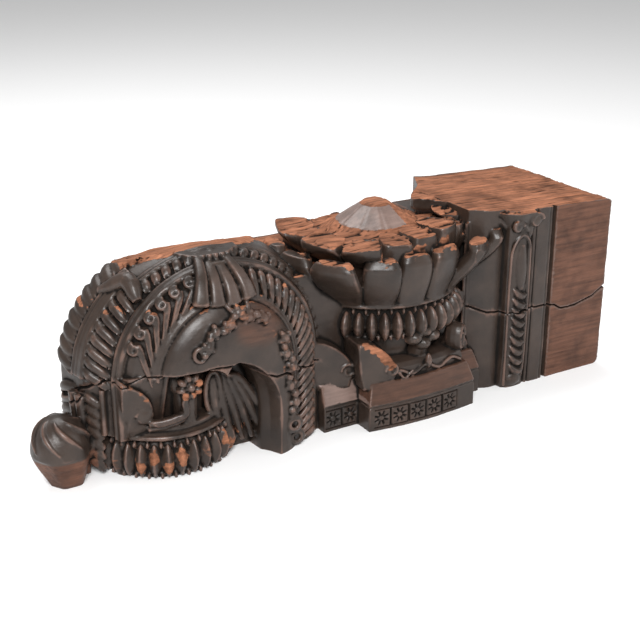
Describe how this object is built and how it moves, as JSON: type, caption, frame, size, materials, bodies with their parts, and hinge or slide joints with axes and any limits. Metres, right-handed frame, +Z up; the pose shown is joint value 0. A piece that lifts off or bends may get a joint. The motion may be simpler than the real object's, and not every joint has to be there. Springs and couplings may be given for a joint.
{
  "type": "carved wooden bracket",
  "caption": "Salvaged carved timber bracket: a square block end, a half lotus on a stepped plinth, and a round-headed arch of leaf bands with a beaded ring and bud at its foot.",
  "frame": {"origin": "on the floor, at the middle of the length and of the depth", "axes": "+X along the timber to its sawn end, +Y to its flat back, +Z up from the floor"},
  "size_m": [0.698, 0.198, 0.228],
  "materials": {
    "carved_wood": "dark dry patina, worn reddish on the edges, raw orange wood at the breaks and on the sawn block"
  },
  "bodies": {
    "root": {"bracket": "carved_wood"}
  },
  "joints": []
}
